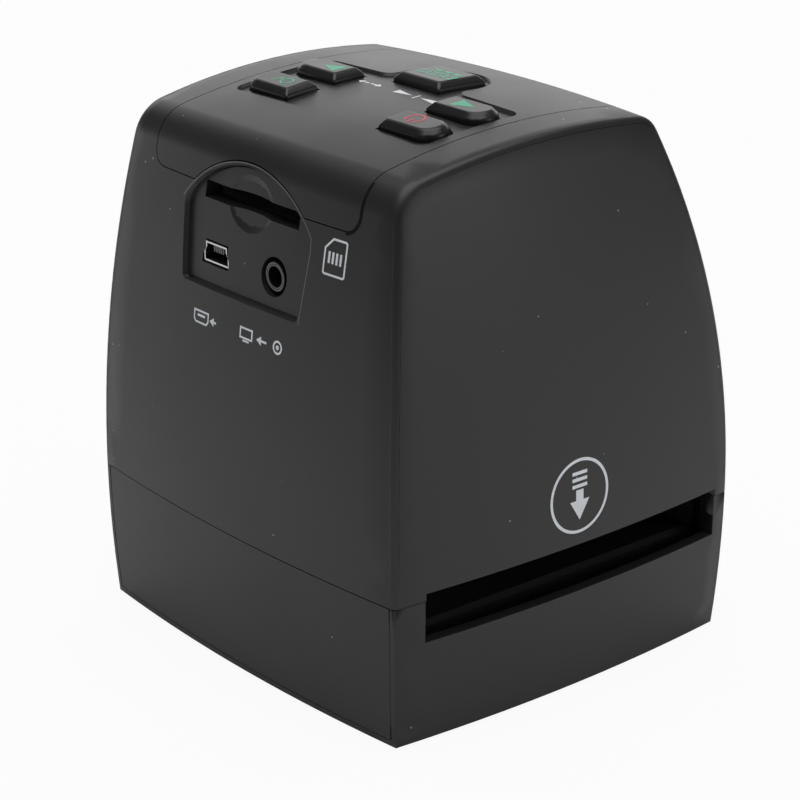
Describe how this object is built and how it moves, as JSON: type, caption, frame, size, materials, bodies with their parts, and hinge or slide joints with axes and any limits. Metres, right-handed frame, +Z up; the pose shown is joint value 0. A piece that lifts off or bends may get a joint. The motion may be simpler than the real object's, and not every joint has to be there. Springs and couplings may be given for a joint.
{
  "type": "film negative scanner",
  "caption": "Upright desktop film scanner: bulged dark case with a film channel right through the base, sprung keys on top, a socket recess at the back and a display in front.",
  "frame": {"origin": "middle of the case's outline, on the surface that the feet stand on", "axes": "+Z up; +Y towards the side with the sockets, so the display faces -Y; the film holder passes through along X"},
  "size_m": [0.0866, 0.0816, 0.0996],
  "materials": {
    "case": "fine matte texture",
    "key": "satin",
    "window": "gloss",
    "inner_plastic": "matte",
    "white_plastic": "matte",
    "display": "satin",
    "socket_metal": "satin",
    "jack": "gloss",
    "rubber": "matte",
    "screw": "satin",
    "diffuser": "milky",
    "board": "satin",
    "lamp": "gloss",
    "lens_glass": "gloss",
    "chip": "matte",
    "switch": "matte",
    "ribbon": "satin"
  },
  "bodies": {
    "case": {"upper_housing": "case", "top_cover": "case", "display_bezel": "case", "base_shell": "case", "rear_lower_panel": "case", "front_lower_panel": "case", "port_plate": "case", "display_window": "window", "display_frame": "inner_plastic", "display_module": "display", "card_socket": "socket_metal", "usb_socket": "socket_metal", "av_jack": "jack", "rubber_feet": "rubber", "base_screws": "screw", "film_guide_lower": "inner_plastic", "film_guide_upper": "inner_plastic", "detent_spring": "screw", "diffuser": "diffuser", "light_box": "white_plastic", "backlight_board": "board", "backlight_leds": "lamp", "camera_hood": "inner_plastic", "lens_barrel": "inner_plastic", "lens_elements": "lens_glass", "image_sensor": "chip", "sensor_board": "board", "main_board": "board", "keypad_board": "board", "keypad_screws": "screw", "board_link": "inner_plastic", "processor_chips": "chip", "board_screws": "screw", "switch_bodies": "switch", "display_ribbon": "ribbon", "sensor_ribbon": "ribbon", "backlight_ribbon": "ribbon"},
    "confirm_key": {"confirm_button": "key", "confirm_switch_plunger": "key"},
    "flip_key": {"flip_button": "key", "flip_switch_plunger": "key"},
    "scan_key": {"scan_button": "key", "scan_switch_plunger": "key"},
    "mirror_key": {"mirror_button": "key", "mirror_switch_plunger": "key"},
    "power_key": {"power_button": "key", "power_switch_plunger": "key"},
    "click_stop": {"detent_plunger": "white_plastic"}
  },
  "joints": [
    {"name": "confirm_press", "type": "slide", "parent": "case", "child": "confirm_key", "axis": [0, 0, -1], "range_m": [0, 0.0004], "stiffness_N_per_m": 1500},
    {"name": "flip_press", "type": "slide", "parent": "case", "child": "flip_key", "axis": [0, 0, -1], "range_m": [0, 0.0004], "stiffness_N_per_m": 1500},
    {"name": "scan_press", "type": "slide", "parent": "case", "child": "scan_key", "axis": [0, 0, -1], "range_m": [0, 0.0004], "stiffness_N_per_m": 1500},
    {"name": "mirror_press", "type": "slide", "parent": "case", "child": "mirror_key", "axis": [0, 0, -1], "range_m": [0, 0.0004], "stiffness_N_per_m": 1500},
    {"name": "power_press", "type": "slide", "parent": "case", "child": "power_key", "axis": [0, 0, -1], "range_m": [0, 0.0004], "stiffness_N_per_m": 1500},
    {"name": "click_stop_slide", "type": "slide", "parent": "case", "child": "click_stop", "axis": [0, 0, -1], "range_m": [0, 0.0007], "stiffness_N_per_m": 400, "deforming": ["detent_spring"]}
  ]
}
